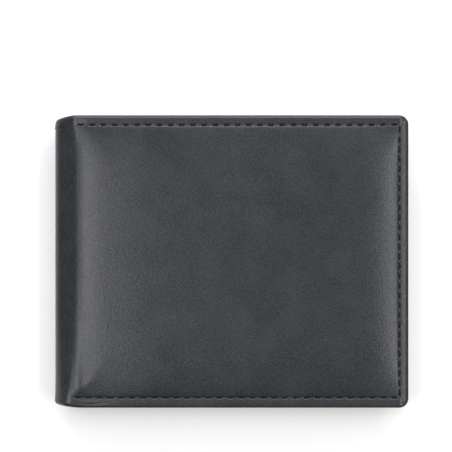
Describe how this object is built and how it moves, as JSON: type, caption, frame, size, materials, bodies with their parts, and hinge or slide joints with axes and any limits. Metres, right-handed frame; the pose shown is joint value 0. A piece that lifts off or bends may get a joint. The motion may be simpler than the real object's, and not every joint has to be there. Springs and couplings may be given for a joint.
{
  "type": "bifold wallet",
  "caption": "Closed leather bifold wallet with padded covers, stepped card pockets and a full-length banknote compartment; the halves fold open flat.",
  "frame": {"origin": "under the middle of the closed wallet, on the flat of the back cover that it rests on", "axes": "+X from the fold to the free edge, +Y up the wallet to the banknote mouth, +Z out through the front cover"},
  "size_m": [0.115, 0.095, 0.0186],
  "materials": {
    "outer_leather": "smooth charcoal black leather, satin",
    "inner_leather": "thin smooth black leather, satin",
    "lining_cloth": "plain-woven black lining cloth",
    "foam": "soft foam, hidden",
    "board": "thin pulp board, hidden"
  },
  "bodies": {
    "back_half": {"back_cover": "outer_leather", "back_foam_pad": "foam", "back_cover_board": "board", "back_cover_lining": "lining_cloth", "back_banknote_wall": "lining_cloth", "back_base_panel": "inner_leather", "back_top_card_pocket": "inner_leather", "back_middle_card_pocket": "inner_leather", "back_lower_card_pocket": "inner_leather"},
    "fold": {"fold_cover": "outer_leather", "fold_lining": "lining_cloth", "fold_gutter": "lining_cloth"},
    "front_half": {"front_cover": "outer_leather", "front_foam_pad": "foam", "front_cover_board": "board", "front_cover_lining": "lining_cloth", "front_banknote_wall": "lining_cloth", "front_base_panel": "inner_leather", "front_top_card_pocket": "inner_leather", "front_middle_card_pocket": "inner_leather", "front_lower_card_pocket": "inner_leather"}
  },
  "joints": [
    {"name": "back_fold", "type": "hinge", "parent": "back_half", "child": "fold", "pos_m": [-0.05527, 0, 0.00393], "axis": [0, -1, 0], "range_deg": [0, 90]},
    {"name": "front_fold", "type": "hinge", "parent": "fold", "child": "front_half", "pos_m": [-0.05527, 0, 0.01467], "axis": [0, -1, 0], "range_deg": [0, 90]}
  ],
  "couplings": [
    {"joint": "front_fold", "follows": "back_fold", "ratio": 1}
  ]
}
